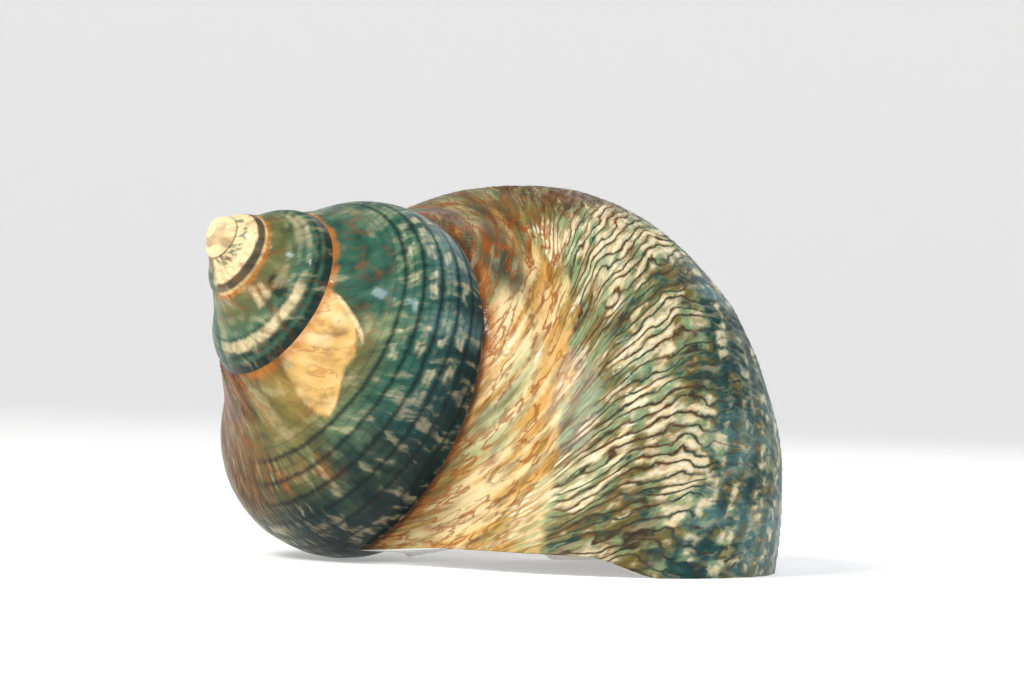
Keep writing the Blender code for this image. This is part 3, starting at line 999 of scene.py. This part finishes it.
@dataclass
class TurbanShell:
    """The shell: skin, tip, pillar and hollow in one closed mesh.

    Attributes:
        turns: Turns of skin, from the tip to the lip.
        rows: Rows of points in the last turn; each turn before it has half as many, down to a quarter.
        columns: Columns of cells from suture to suture on the last two turns; earlier ones have half.
        base_columns: Columns of cells on the base.
        crowding: Exponent that brings columns together beside the suture.
        ball: Radius of the rounded tip, and its centre's depth below the growth origin.
        pillar_rows: Points on the line from the pillar's foot to its head.
        hollow_rows: Rings of the hollow in one turn.
    """

    growth: Growth = field(default_factory=Growth)
    lie: Lie = field(default_factory=Lie)
    relief: Relief = field(default_factory=Relief)
    turns: float = 4.5
    rows: int = 560
    columns: int = 76
    base_columns: int = 24
    crowding: float = 1.35
    ball: Size = (0.0060, 0.0085)
    pillar_rows: int = 5
    hollow_rows: int = 28

    def __post_init__(self) -> None:
        """Work out the mouth, its age, and where the skin starts."""
        self.mouth = Mouth(self.growth, self.lie)
        self.last = self.mouth.suture_age()
        self.first = self.last - self.turns
        self.paint = Paint()
        self.parts = MeshParts()

    def shares(self, cells: int, with_base: bool) -> Array:
        """Shares of the columns: a power of an even run from 0 to 1, and an even run above 1.

        Args:
            cells: Number of cells from suture to suture.
            with_base: Whether the base follows.

        Returns:
            The shares.
        """
        run = np.linspace(0.0, 1.0, cells + 1) ** self.crowding
        base = 1.0 + np.linspace(0.0, 1.0, self.base_columns + 1)[1:]
        return np.concatenate([run, base]) if with_base else run

    def angles(self, age: Array, share: Array) -> Array:
        """Angle at a share: from suture to seat up to 1, and from seat to pillar above 1.

        Args:
            age: Ages, in turns.
            share: Shares of the way from suture to suture.

        Returns:
            Angles, in radians.
        """
        upper, lower = self.growth.suture_polar(age)[0], self.growth.seat(age + 1.0)
        base = lower + (self.mouth.pillar_angle() - lower) * (share - 1.0)
        return np.where(share <= 1.0, upper + (lower - upper) * share, base)

    def stretch(
        self, start: float, rows: int, per_turn: int, cells: int, with_base: bool = False
    ) -> Stretch:
        """Grid of one stretch, with no point numbers yet.

        Args:
            start: Age of row 0.
            rows: Cells along the growth.
            per_turn: Cells in a whole turn.
            cells: Cells from suture to suture.
            with_base: Whether the base is part of it, as it is on the last turn.

        Returns:
            The stretch.
        """
        level = start + np.arange(rows + 1)[:, None] / per_turn
        share = self.shares(cells, with_base)[None, :]
        age, share = np.broadcast_arrays(level, share)
        angle = self.angles(age, share)
        if with_base:
            lip_angles = self.angles(np.full(share.shape[1], self.last), share[0])
            shift = np.minimum(self.mouth.edge_age(self.growth.skin, lip_angles) - self.last, 0.0)
            shift[0] = 0.0
            age = age + rise(age, self.last - self.mouth.turn_back, self.last) * shift
        return Stretch(age, angle, share.copy(), np.full(age.shape, -1))

    def winding(self, radius: Array, height: Array, age: Array) -> Pair:
        """Blend the first turn into a winding on the tip's ball.

        On the ball a place is an angle from the apex and a distance from the ball's centre. Both run
        evenly from the turn's upper edge, which winds out from the pole, to its lower edge.

        Args:
            radius: Distances from the axis.
            height: Heights along it.
            age: Ages.

        Returns:
            The blended distances and heights.
        """
        ball_radius, drop = self.ball
        early = np.clip(age - self.first, 0.0, 1.0)
        end_radius, end_height = self.growth.suture(self.first + 1.0)
        end_angle = math.atan2(end_radius, end_height + drop)
        end_reach = math.hypot(end_radius, end_height + drop)
        low_angle = np.arctan2(radius[:, -1:], height[:, -1:] + drop)
        low_reach = np.hypot(radius[:, -1:], height[:, -1:] + drop)
        top_angle = early * end_angle
        top_reach = ball_radius + (end_reach - ball_radius) * early
        even = np.linspace(0.0, 1.0, radius.shape[1])[None, :]
        angle = top_angle + (low_angle - top_angle) * even
        reach = top_reach + (low_reach - top_reach) * even
        mix = smooth(early)
        on_ball_radius, on_ball_height = reach * np.sin(angle), reach * np.cos(angle) - drop
        return (1.0 - mix) * on_ball_radius + mix * radius, (1.0 - mix) * on_ball_height + mix * height

    def surface(self, part: Stretch) -> Array:
        """Points of a stretch: the plain skin, moved along its normal by the relief.

        Args:
            part: Stretch of the skin.

        Returns:
            Points, in metres.
        """
        radius, height = self.growth.skin(part.age, part.angle)
        if part.age.min() < self.first + 1.0:
            radius, height = self.winding(radius, height, part.age)
        points = self.lie.place(radius, height, part.age)
        ends = []
        for by_age, by_angle in ((0, -SLOPE_STEP), (0, SLOPE_STEP), (-SLOPE_STEP, 0), (SLOPE_STEP, 0)):
            age = part.age + by_age
            ends.append(self.lie.place(*self.growth.skin(age, part.angle + by_angle), age))
        normal = np.cross(ends[1] - ends[0], ends[3] - ends[2])
        normal /= np.linalg.norm(normal, axis=-1, keepdims=True)
        core = self.lie.place(*self.growth.centre(part.age), part.age)
        normal *= np.sign((normal * (points - core)).sum(-1, keepdims=True))
        spot = Spot.of(self.growth, part.age, part.angle, part.share)
        points = points + normal * self.relief.height(spot)[..., None]
        points[..., 2] = np.maximum(points[..., 2], 0.0)
        return points

    def values(self, part: Stretch) -> Array:
        """VALUES numbers at each place: growth map, pattern map, ground and marks.

        Args:
            part: Stretch of the skin.

        Returns:
            The numbers, along the last axis.
        """
        spot = Spot.of(self.growth, part.age, part.angle, part.share)
        ground, marks = self.paint.layers(spot)
        phase = self.relief.phase(spot)
        maps = np.stack([spot.along, spot.across, phase, spot.angle], -1)
        return np.concatenate([maps, ground, marks], -1)

    def skin(self) -> list[Stretch]:
        """Add the skin: early turns, turn before the last, and last turn with the base.

        A turn's first column is the last column of the turn before. Where the turn before has half as
        many rows, every other row has no point there, and a zip of triangles closes the suture.

        Returns:
            The three stretches, earliest first.
        """
        quarter, half = self.rows // 4, self.rows // 2
        early_rows = int(round((self.turns - 2.0) * quarter))
        early = self.stretch(self.first, early_rows, quarter, self.columns // 2)
        middle = self.stretch(self.last - 2.0, half, half, self.columns)
        late = self.stretch(self.last - 1.0, self.rows, self.rows, self.columns, True)
        at = self.columns
        points = self.surface(early)
        early.numbers[:, 1:] = self.parts.add(points[:, 1:])
        early.numbers[:quarter, 0] = self.parts.add(points[:quarter, 0])
        early.numbers[quarter:, 0] = early.numbers[:-quarter, -1]
        middle.numbers[1:, 1:] = self.parts.add(self.surface(middle)[1:, 1:])
        middle.numbers[0, ::2] = early.numbers[-1]
        middle.numbers[::2, 0] = early.numbers[-1 - quarter:, -1]
        points = self.surface(late)
        late.numbers[1:, 1:] = self.parts.add(points[1:, 1:])
        late.numbers[0, :at + 1] = middle.numbers[-1]
        late.numbers[0, at + 1:] = self.parts.add(points[0, at + 1:])
        late.numbers[::2, 0] = middle.numbers[:, -1]
        whole, after = slice(None), slice(1, None)
        for part, faces in (
            (early, [early.cells(whole, whole)]),
            (middle, [middle.start_zip(), middle.suture_zip(), middle.cells(after, after)]),
            (late, [late.suture_zip(), late.cells(whole, after)]),
        ):
            index = np.concatenate(faces)
            values = self.values(part).reshape(-1, VALUES)
            self.parts.face(part.numbers.ravel()[index], values[index], Finish.SKIN.value)
        return [early, middle, late]

    def tip(self, early: Stretch) -> None:
        """Close the tip: a fan inside the first turn's upper edge, and a wedge to its first row.

        Args:
            early: The early turns' stretch.
        """
        quarter = self.rows // 4
        pole, ring = early.numbers[0, 0], early.numbers[1:quarter, 0]
        fan = np.stack([np.full(len(ring) - 1, pole), ring[1:], ring[:-1]], -1)
        row = early.numbers[0]
        wedge = np.stack([np.full(len(row) - 1, ring[-1]), row[:-1], row[1:]], -1)
        values = self.values(early)[0, 1]
        self.parts.face(np.concatenate([fan, wedge]), values, Finish.SKIN.value)

    def pillar(self, late: Stretch) -> Array:
        """Close the base: a cone from its inner edge to a foot on the axis.

        Args:
            late: The last turn's stretch.

        Returns:
            Numbers of the points from the foot up to the head, without the head.
        """
        rim = late.numbers[:, -1]
        up = self.lie.axes()[0]
        foot = np.array(self.lie.origin) + self.growth.skin(late.age[-1, -1], late.angle[-1, -1])[1] * up
        head = self.parts.place_of(rim[:1])[0]
        share = np.linspace(0.0, 1.0, self.pillar_rows + 1)[:-1, None]
        line = self.parts.add(foot + (head - foot) * share)
        cone = np.stack([rim[1:-1], rim[2:], np.full(len(rim) - 2, line[0])], -1)
        inner = np.concatenate([line, rim[:1]])
        wedge = np.stack([np.full(len(inner) - 1, rim[1]), inner[:-1], inner[1:]], -1)
        self.parts.face(np.concatenate([cone, wedge]), self.values(late)[-1, -1], Finish.SKIN.value)
        return line

    def hollow(self, late: Stretch, line: Array) -> None:
        """Line the hollow: rings wound back from the mouth's edge, and a rounded end.

        Each ring lies on the hollow's own section. The first rings lean into the mouth's edge by an
        eased share, and the last ones shrink as a quarter circle does.

        Args:
            late: The last turn's stretch.
            line: Points of the pillar, from the foot up.
        """
        edge = np.concatenate([late.numbers[-1], line, late.numbers[0, :self.columns:-1]])
        up, down, across = self.lie.axes()
        offset = self.parts.place_of(edge[late.numbers.shape[1]:]) - np.array(self.lie.origin)
        along = offset @ up
        turned = -2.0 * math.pi * self.last
        outwards = math.cos(turned) * down + math.sin(turned) * across
        core_radius, core_height = self.growth.centre(self.last)
        inner = np.arctan2(along - core_height, (offset - along[:, None] * up) @ outwards - core_radius)
        angles = np.concatenate([late.angle[-1], np.mod(inner, 2.0 * math.pi) - 2.0 * math.pi])
        ages = np.minimum(self.mouth.edge_age(self.mouth.inner, angles), self.last)
        steps = int(round(self.mouth.turns * self.hollow_rows))
        back = (np.arange(steps) / self.hollow_rows)[:, None]
        at = self.last - back + (1.0 - smooth(back / self.mouth.slope_turns)) * (ages - self.last)
        radius, height = self.mouth.inner(at, angles)
        core_radius, core_height = self.growth.centre(at)
        left = np.clip((self.mouth.turns - back) / self.mouth.end_turns, 0.0, 1.0)
        shrink = np.sqrt(1.0 - (1.0 - left) ** 2)
        radius = core_radius + shrink * (radius - core_radius)
        height = core_height + shrink * (height - core_height)
        rings = self.parts.add(self.lie.place(radius, height, at))
        end_age = self.last - self.mouth.turns
        end = self.parts.add(self.lie.place(*self.growth.centre(end_age), end_age)[None, :])
        rings = np.concatenate([edge[None, :], rings])
        rings = np.concatenate([rings, rings[:, :1]], axis=1)
        a, b, c, d = rings[:-1, :-1], rings[:-1, 1:], rings[1:, 1:], rings[1:, :-1]
        walls = np.concatenate([np.stack(corners, -1).reshape(-1, 3) for corners in ((a, d, c), (a, c, b))])
        last = rings[-1]
        cap = np.stack([last[:-1], np.full(len(last) - 1, end[0]), last[1:]], -1)
        self.parts.face(np.concatenate([walls, cap]), np.zeros(VALUES), Finish.PEARL.value)

    def build(self, materials: list[bpy.types.Material]) -> bpy.types.Object:
        """Build the shell, and dress it in the given materials.

        Args:
            materials: The skin's material, and the pearl's.

        Returns:
            The finished piece.
        """
        early, _, late = self.skin()
        self.tip(early)
        self.hollow(late, self.pillar(late))
        return self.parts.make("shell", materials)


@dataclass(frozen=True)
class Wire:
    """A socket in a material, with arithmetic that adds Math nodes.

    Attributes:
        graph: Material that the socket belongs to.
        socket: Output socket.
    """

    graph: "Graph"
    socket: bpy.types.NodeSocket

    def math(self, operation: str, *values: "Wire | float") -> "Wire":
        """One Math node of the given operation on this value and the others."""
        inputs = dict(enumerate((self, *values)))
        return self.graph.node("ShaderNodeMath", {"operation": operation}, inputs)

    def __add__(self, other: "Wire | float") -> "Wire":
        """Sum."""
        return self.math("ADD", other)

    def __sub__(self, other: "Wire | float") -> "Wire":
        """Difference."""
        return self.math("SUBTRACT", other)

    def __rsub__(self, other: float) -> "Wire":
        """Difference from a number: minus this, plus the number."""
        return self.math("MULTIPLY_ADD", -1.0, other)

    def __mul__(self, other: "Wire | float") -> "Wire":
        """Product."""
        return self.math("MULTIPLY", other)

    def __pow__(self, other: float) -> "Wire":
        """Power."""
        return self.math("POWER", other)

    __radd__ = __add__
    __rmul__ = __mul__

    def step(self, low: float, high: float) -> "Wire":
        """Eased step from 0 at low to 1 at high; high may be below low.

        Args:
            low: Value where the step starts.
            high: Value where it ends.

        Returns:
            The step, from 0 to 1.
        """
        settings = {"interpolation_type": "SMOOTHSTEP"}
        flip = high < low
        ends = {"From Min": min(low, high), "From Max": max(low, high)}
        ends |= {"To Min": 1.0, "To Max": 0.0} if flip else {"To Min": 0.0, "To Max": 1.0}
        return self.graph.node("ShaderNodeMapRange", settings, {"Value": self, **ends})


class Graph:
    """Nodes of one material."""

    def __init__(self, name: str) -> None:
        """Start an empty material with the given name.

        Args:
            name: Name of the material.
        """
        self.material = bpy.data.materials.new(name)
        self.material.use_nodes = True
        self.tree = self.material.node_tree
        self.tree.nodes.clear()

    def node(
        self, kind: str, settings: dict | None = None, inputs: dict | None = None, output: str | int = 0
    ) -> Wire:
        """Add a node.

        Args:
            kind: Blender's name for the node's type.
            settings: Properties, set first.
            inputs: Values or wires by the sockets' number, identifier or name.
            output: Output socket's number, identifier or name.

        Returns:
            The output as a wire.
        """
        made = self.tree.nodes.new(kind)
        for key, value in (settings or {}).items():
            setattr(made, key, value)
        for key, value in (inputs or {}).items():
            socket = self.find(made.inputs, key)
            if isinstance(value, Wire):
                self.tree.links.new(value.socket, socket)
            else:
                socket.default_value = value
        return Wire(self, self.find(made.outputs, output))

    def find(self, sockets: bpy.types.bpy_prop_collection, key: str | int) -> bpy.types.NodeSocket:
        """Socket of the given number, identifier or name.

        Args:
            sockets: Inputs or outputs of a node.
            key: Number, identifier or name.

        Returns:
            The socket.
        """
        if isinstance(key, int):
            return sockets[key]
        return next(s for s in [*sockets] if key in (s.identifier, s.name))

    def mix(self, share: Wire | float, *ends: Wire | Tone | tuple) -> Wire:
        """Colour between two colours, by a share from 0 to 1.

        Args:
            share: Share of the second colour.
            ends: The two colours.

        Returns:
            The colour.
        """
        first, second = (end.rgba if isinstance(end, Tone) else end for end in ends)
        inputs = {"Factor_Float": share, "A_Color": first, "B_Color": second}
        return self.node("ShaderNodeMix", {"data_type": "RGBA"}, inputs, "Result_Color")

    def parts(self, vector: Wire, count: int) -> list[Wire]:
        """First values of a vector."""
        split = self.node("ShaderNodeSeparateXYZ", {}, {0: vector})
        return [Wire(self, split.socket.node.outputs[i]) for i in range(count)]

    def noise(self, x: Wire, y: Wire, cell: Size, detail: float = 2.0, seed: float = 0.0) -> Wire:
        """Noise from 0 to 1, with cells of the given size in millimetres.

        Args:
            x: Places along the first axis.
            y: Places along the second axis.
            cell: Size of a cell, in millimetres.
            detail: Number of finer layers.
            seed: Place in the third direction.

        Returns:
            The noise, from 0 to 1.
        """
        wide, high = (1.0 / (length * MM) for length in cell)
        place = self.node("ShaderNodeCombineXYZ", {}, {0: x * wide, 1: y * high, 2: seed})
        inputs = {"Vector": place, "Scale": 1.0, "Detail": detail}
        return self.node("ShaderNodeTexNoise", {"noise_dimensions": "3D"}, inputs)

    def surface(self, **inputs: Wire | float | tuple) -> bpy.types.Material:
        """Finish with a Principled shader of the given inputs, with spaces in their names as _.

        Returns:
            The material.
        """
        named = {key.replace("_", " "): value for key, value in inputs.items()}
        shader = self.node("ShaderNodeBsdfPrincipled", {}, named)
        end = self.tree.nodes.new("ShaderNodeOutputMaterial")
        self.tree.links.new(shader.socket, end.inputs["Surface"])
        return self.material


@dataclass(frozen=True)
class PolishedSkin:
    """Finish of the skin: polished, with creamy crests, dark grooves, rusty streaks and spiral lines.

    Attributes:
        cord_angle: Angle from one spiral line to the next, in degrees.
        line_start: Angle of one spiral line.
        coat: Weight of the clear polish.
        coat_roughness: Roughness of the polish.
        gloss: Level of the skin's own reflections.
        roughness: Mean roughness of the skin.
        bump_depth: Depth of the fine grain.
    """

    cord_angle: float = 12.5
    line_start: float = 1.8
    coat: float = 0.15
    coat_roughness: float = 0.09
    gloss: float = 0.05
    roughness: float = 0.36
    bump_depth: float = 0.5 * MM

    def dress(self) -> bpy.types.Material:
        """Make the material.

        Streaks are noise stretched across the whorl, along its growth lines. Crests and grooves come
        from the sine of the ridges' phase, and spiral lines from a cosine of the angle.

        Returns:
            The material.
        """
        g = Graph("polished_turban_skin")
        along, across = g.parts(g.node("ShaderNodeUVMap", {"uv_map": "growth"}), 2)
        phase, angle = g.parts(g.node("ShaderNodeUVMap", {"uv_map": "pattern"}), 2)
        ground = g.node("ShaderNodeVertexColor", {"layer_name": "ground"}, {}, "Color")
        crests = Wire(g, ground.socket.node.outputs["Alpha"])
        marks = g.node("ShaderNodeVertexColor", {"layer_name": "marks"}, {}, "Color")
        grooved = Wire(g, marks.socket.node.outputs["Alpha"])
        rusty, lined, checked = g.parts(marks, 3)

        near = angle.step(48.0, 66.0)
        bend = g.noise(along, across, (11.0, 9.0), 1.0, 40.0) - 0.5
        small = g.noise(along, across, (3.0, 3.4), 2.0, 13.3) - 0.5
        swept = along + (bend * 4.0 + small * 2.2) * MM
        streak = self.between(g, near, (2.6, 8.0), (9.0, 6.0), 0.3)
        hair = self.between(g, near, (1.0, 2.6), (4.0, 2.2), 5.1)
        blot = self.between(g, near, (6.0, 5.5), (14.0, 6.0), 9.7)
        tone = g.noise(swept, across, (3.2, 5.0), 2.0, 50.0)
        shifted = phase + small * 0.9
        ridge = (shifted * math.pi).math("SINE").math("ABSOLUTE") ** CREST_ROOT

        # shares of each coat over the one before
        coloured = g.parts(ground, 3)[2].step(0.62, 0.50)
        level = tone * 0.46 + blot * 0.54 + crests * 0.28 - 0.215
        wanted = crests.step(0.02, 0.25)
        light = g.mix(blot.step(0.38, 0.56), Tone.PALE_GREEN, Tone.OLIVE)
        tinted = g.mix(hair.step(0.40, 0.62) * 0.6, Tone.CREAM, Tone.CHALK)
        turn = (angle - self.line_start) * (2.0 * math.pi / self.cord_angle) + small * 1.2
        turn = turn.math("COSINE")
        checker = (g.noise(swept, across, (4.2, 12.0), 1.0, 21.0) * 0.65 + tone * 0.35).step(0.46, 0.58)
        squares = checker * turn.step(0.60, -0.70) * checked * blot.step(0.25, 0.6)
        square_tone = g.mix(tone.step(0.42, 0.58), Tone.PALE_GREEN, tinted)
        line = (turn.step(0.35, 0.97) + (turn * turn).step(0.80, 1.0) * 0.45) * lined * (hair * 0.5 + 0.55)
        stain = self.between(g, near, (2.4, 8.0), (8.0, 7.0), 31.0)
        earth = g.mix(blot.step(0.35, 0.65), Tone.BROWN, Tone.RUST)
        vein = self.between(g, near, (2.6, 9.0), (9.0, 6.0), 77.0) - 0.5
        vein = vein.math("ABSOLUTE").step(0.045, 0.008) * rusty
        groove = ridge.step(0.52, 0.15) * grooved * (tone * 1.6 - 0.1).step(0.2, 0.9)
        groove = groove * (blot.step(0.62, 0.40) * 0.6 + 0.4)
        deep = g.mix(blot.step(0.32, 0.50), Tone.NIGHT, Tone.BROWN)

        colour = ground
        for share, over in (
            (streak.step(0.46, 0.72) * coloured * 0.55, Tone.NIGHT),
            (streak.step(0.48, 0.30) * 0.25, Tone.CREAM),
            (level.step(0.34, 0.46) * ridge.step(0.20, 0.90) * wanted * 0.75, light),
            (level.step(0.45, 0.62) * ridge.step(0.30, 1.0) * wanted * 0.92, tinted),
            (squares * 0.85, square_tone),
            (line * 0.80, Tone.NIGHT),
            (stain.step(0.52, 0.68) * rusty * 0.75, earth),
            (vein * blot.step(0.35, 0.55) * 0.85, earth),
            (groove * 0.85, deep),
        ):
            colour = g.mix(share, colour, over)

        rough = self.roughness + (hair - 0.5) * 0.25
        height = ridge * grooved * 0.5 + hair * 0.18 + streak * 0.12 - vein * 0.2
        inputs = {"Strength": 0.8, "Distance": self.bump_depth, "Height": height}
        normal = g.node("ShaderNodeBump", {}, inputs)
        return g.surface(Base_Color=colour, Roughness=rough, Normal=normal, Coat_Weight=self.coat,
                         Coat_Roughness=self.coat_roughness, IOR=1.5, Specular_IOR_Level=self.gloss)

    @staticmethod
    def between(g: Graph, near: Wire, far_cell: Size, near_cell: Size, seed: float) -> Wire:
        """Noise with one cell size far from the suture and a longer one near it.

        Near the suture growth lines run almost along it, so a longer cell keeps streaks as wide.

        Args:
            g: Material.
            near: Share of the second noise.
            far_cell: Cell in millimetres along and across, far from the suture.
            near_cell: The same near it.
            seed: Place of the noise in its third direction.

        Returns:
            The noise, from 0 to 1.
        """
        along, across = g.parts(g.node("ShaderNodeUVMap", {"uv_map": "growth"}), 2)
        bend = g.noise(along, across, (9.0, 7.0), 2.0, seed + 40.0) - 0.5
        swept = along + bend * (5.0 * MM)
        far = g.noise(swept, across, far_cell, 3.0, seed)
        return far + (g.noise(swept, across, near_cell, 4.0, seed + 7.0) - far) * near


@dataclass(frozen=True)
class Pearl:
    """Finish of the hollow: white pearl with soft pink and green bands.

    Attributes:
        coat: Weight of its gloss.
    """

    coat: float = 0.5

    def dress(self) -> bpy.types.Material:
        """Make the material: bands are noise along the object's own axes.

        Returns:
            The material.
        """
        g = Graph("shell_pearl")
        place = g.node("ShaderNodeTexCoord", {}, {}, "Object")
        x, y, z = g.parts(place, 3)
        bands = g.noise(x + z * 0.5, y + z * 0.7, (30.0, 22.0), 2.0, 3.0)
        colour = g.mix(bands.step(0.36, 0.60), (0.72, 0.78, 0.70, 1.0), (0.86, 0.72, 0.68, 1.0))
        colour = g.mix(0.55, colour, (0.85, 0.83, 0.78, 1.0))
        return g.surface(Base_Color=colour, Roughness=0.22, Coat_Weight=self.coat, Coat_Roughness=0.08)


@dataclass
class Studio:
    """Pale floor, soft lamps, pale surroundings and the camera.

    Attributes:
        floor_radius: Radius of the floor's flat part.
        wall_height: Height to which the floor curves up at its edge.
        pale: Brightness of the floor.
        glow: Light that the floor gives off.
        room: Strength of the surroundings' light.
        roll: Turn of the camera about its line of sight.
        eye: Camera's place from the growth origin: right, away and up, before the roll.
        lens: Focal length in millimetres.
        sensor: Width of the sensor in millimetres.
    """

    floor_radius: float = 3.0
    wall_height: float = 2.0
    pale: float = 0.88
    glow: float = 0.30
    room: float = 0.38
    roll: float = math.radians(1.85)
    eye: Triple = (0.07699, -1.125, -0.03055)
    lens: float = 158.2
    sensor: float = 36.0

    def floor(self) -> None:
        """Make the floor: a flat disc that curves up at its edge, turned round the upright axis.

        The profile runs straight to the disc's edge and then along a quarter circle.
        """
        bend = np.linspace(0.0, 0.5 * math.pi, 25)[None, :]
        out = np.concatenate([np.linspace(0.0, 1.0, 13)[None, 1:] * self.floor_radius,
                              self.floor_radius + self.wall_height * np.sin(bend[:, 1:])], axis=1)
        up = np.concatenate([np.zeros((1, 12)), self.wall_height * (1.0 - np.cos(bend[:, 1:]))], axis=1)
        turn = np.linspace(0.0, 2.0 * math.pi, 97)[:-1, None]
        points = np.stack(np.broadcast_arrays(out * np.cos(turn), out * np.sin(turn), up), -1)
        rows, columns = points.shape[:2]
        index = np.arange(rows * columns).reshape(rows, columns)
        ahead = np.roll(index, -1, axis=0)
        quads = np.stack([index[:, :-1], index[:, 1:], ahead[:, 1:], ahead[:, :-1]], -1).reshape(-1, 4)
        centre = rows * columns
        fan = np.stack([np.full(rows, centre), index[:, 0], ahead[:, 0]], -1)
        mesh = bpy.data.meshes.new("floor")
        corners = [*points.reshape(-1, 3).tolist(), [0.0, 0.0, 0.0]]
        mesh.from_pydata(corners, [], [*quads.tolist(), *fan.tolist()])
        mesh.shade_smooth()
        g = Graph("pale_floor")
        mesh.materials.append(g.surface(Base_Color=(self.pale, self.pale, self.pale, 1.0), Roughness=0.9,
                                       Emission_Color=(1.0, 1.0, 1.0, 1.0), Emission_Strength=self.glow))
        piece = bpy.data.objects.new("floor", mesh)
        bpy.context.scene.collection.objects.link(piece)

    @staticmethod
    def lamp(name: str, place: Triple, size: float, power: float, tint: Triple) -> None:
        """Add a square lamp that faces the shell.

        Args:
            name: Name of the lamp.
            place: Its place.
            size: Length of its side.
            power: Power in watts.
            tint: Colour.
        """
        light = bpy.data.lights.new(name, "AREA")
        light.size, light.energy, light.color = size, power, tint
        lamp = bpy.data.objects.new(name, light)
        turn = (Vector(LAMP_AIM) - Vector(place)).to_track_quat("-Z", "Y")
        lamp.matrix_world = Matrix.Translation(place) @ turn.to_matrix().to_4x4()
        bpy.context.scene.collection.objects.link(lamp)

    def surroundings(self) -> None:
        """Set an even pale world, and a view that keeps colours as strong as they are."""
        world = bpy.data.worlds.new("pale_room")
        world.use_nodes = True
        back = world.node_tree.nodes["Background"]
        back.inputs["Color"].default_value = (1.0, 1.0, 1.0, 1.0)
        back.inputs["Strength"].default_value = self.room
        bpy.context.scene.world = world
        bpy.context.scene.view_settings.view_transform = "Standard"

    def camera(self, lie: Lie) -> None:
        """Place the camera: level, looking along +Y, and rolled a little.

        Args:
            lie: How the shell lies.
        """
        c, s = math.cos(self.roll), math.sin(self.roll)
        right, away, up = self.eye
        ox, oy, oz = lie.origin
        place = (ox + c * right - s * up, oy + away, oz + s * right + c * up)
        data = bpy.data.cameras.new("camera")
        data.lens, data.sensor_width = self.lens, self.sensor
        camera = bpy.data.objects.new("camera", data)
        rolled = Matrix(((c, -s, 0.0), (0.0, 0.0, -1.0), (s, c, 0.0)))
        camera.matrix_world = Matrix.Translation(place) @ rolled.to_4x4()
        bpy.context.scene.collection.objects.link(camera)
        bpy.context.scene.camera = camera

    def build(self, lie: Lie) -> None:
        """Make the whole studio.

        Args:
            lie: How the shell lies.
        """
        self.floor()
        self.lamp("key", (-0.9, -0.9, 1.2), 0.6, 25.0, (1.0, 0.97, 0.92))
        self.lamp("fill", (1.2, -0.9, 0.6), 1.0, 3.0, (0.95, 0.98, 1.0))
        self.lamp("rim", (0.5, 1.2, 0.9), 0.9, 2.5, (1.0, 1.0, 1.0))
        self.lamp("window", (0.10, -1.0, 1.15), 0.18, 6.0, (0.80, 0.93, 1.0))
        self.surroundings()
        self.camera(lie)


def main() -> None:
    """Build the shell and its studio."""
    logging.basicConfig(level=logging.INFO, format="%(message)s")
    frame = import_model()
    LOG.info("frame holds %s", ", ".join(frame["nodes"]))
    shell = TurbanShell()
    piece = shell.build([PolishedSkin().dress(), Pearl().dress()])
    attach(piece, BODY)
    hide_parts(NODE)
    Studio().build(shell.lie)


if __name__ == "__main__":
    main()
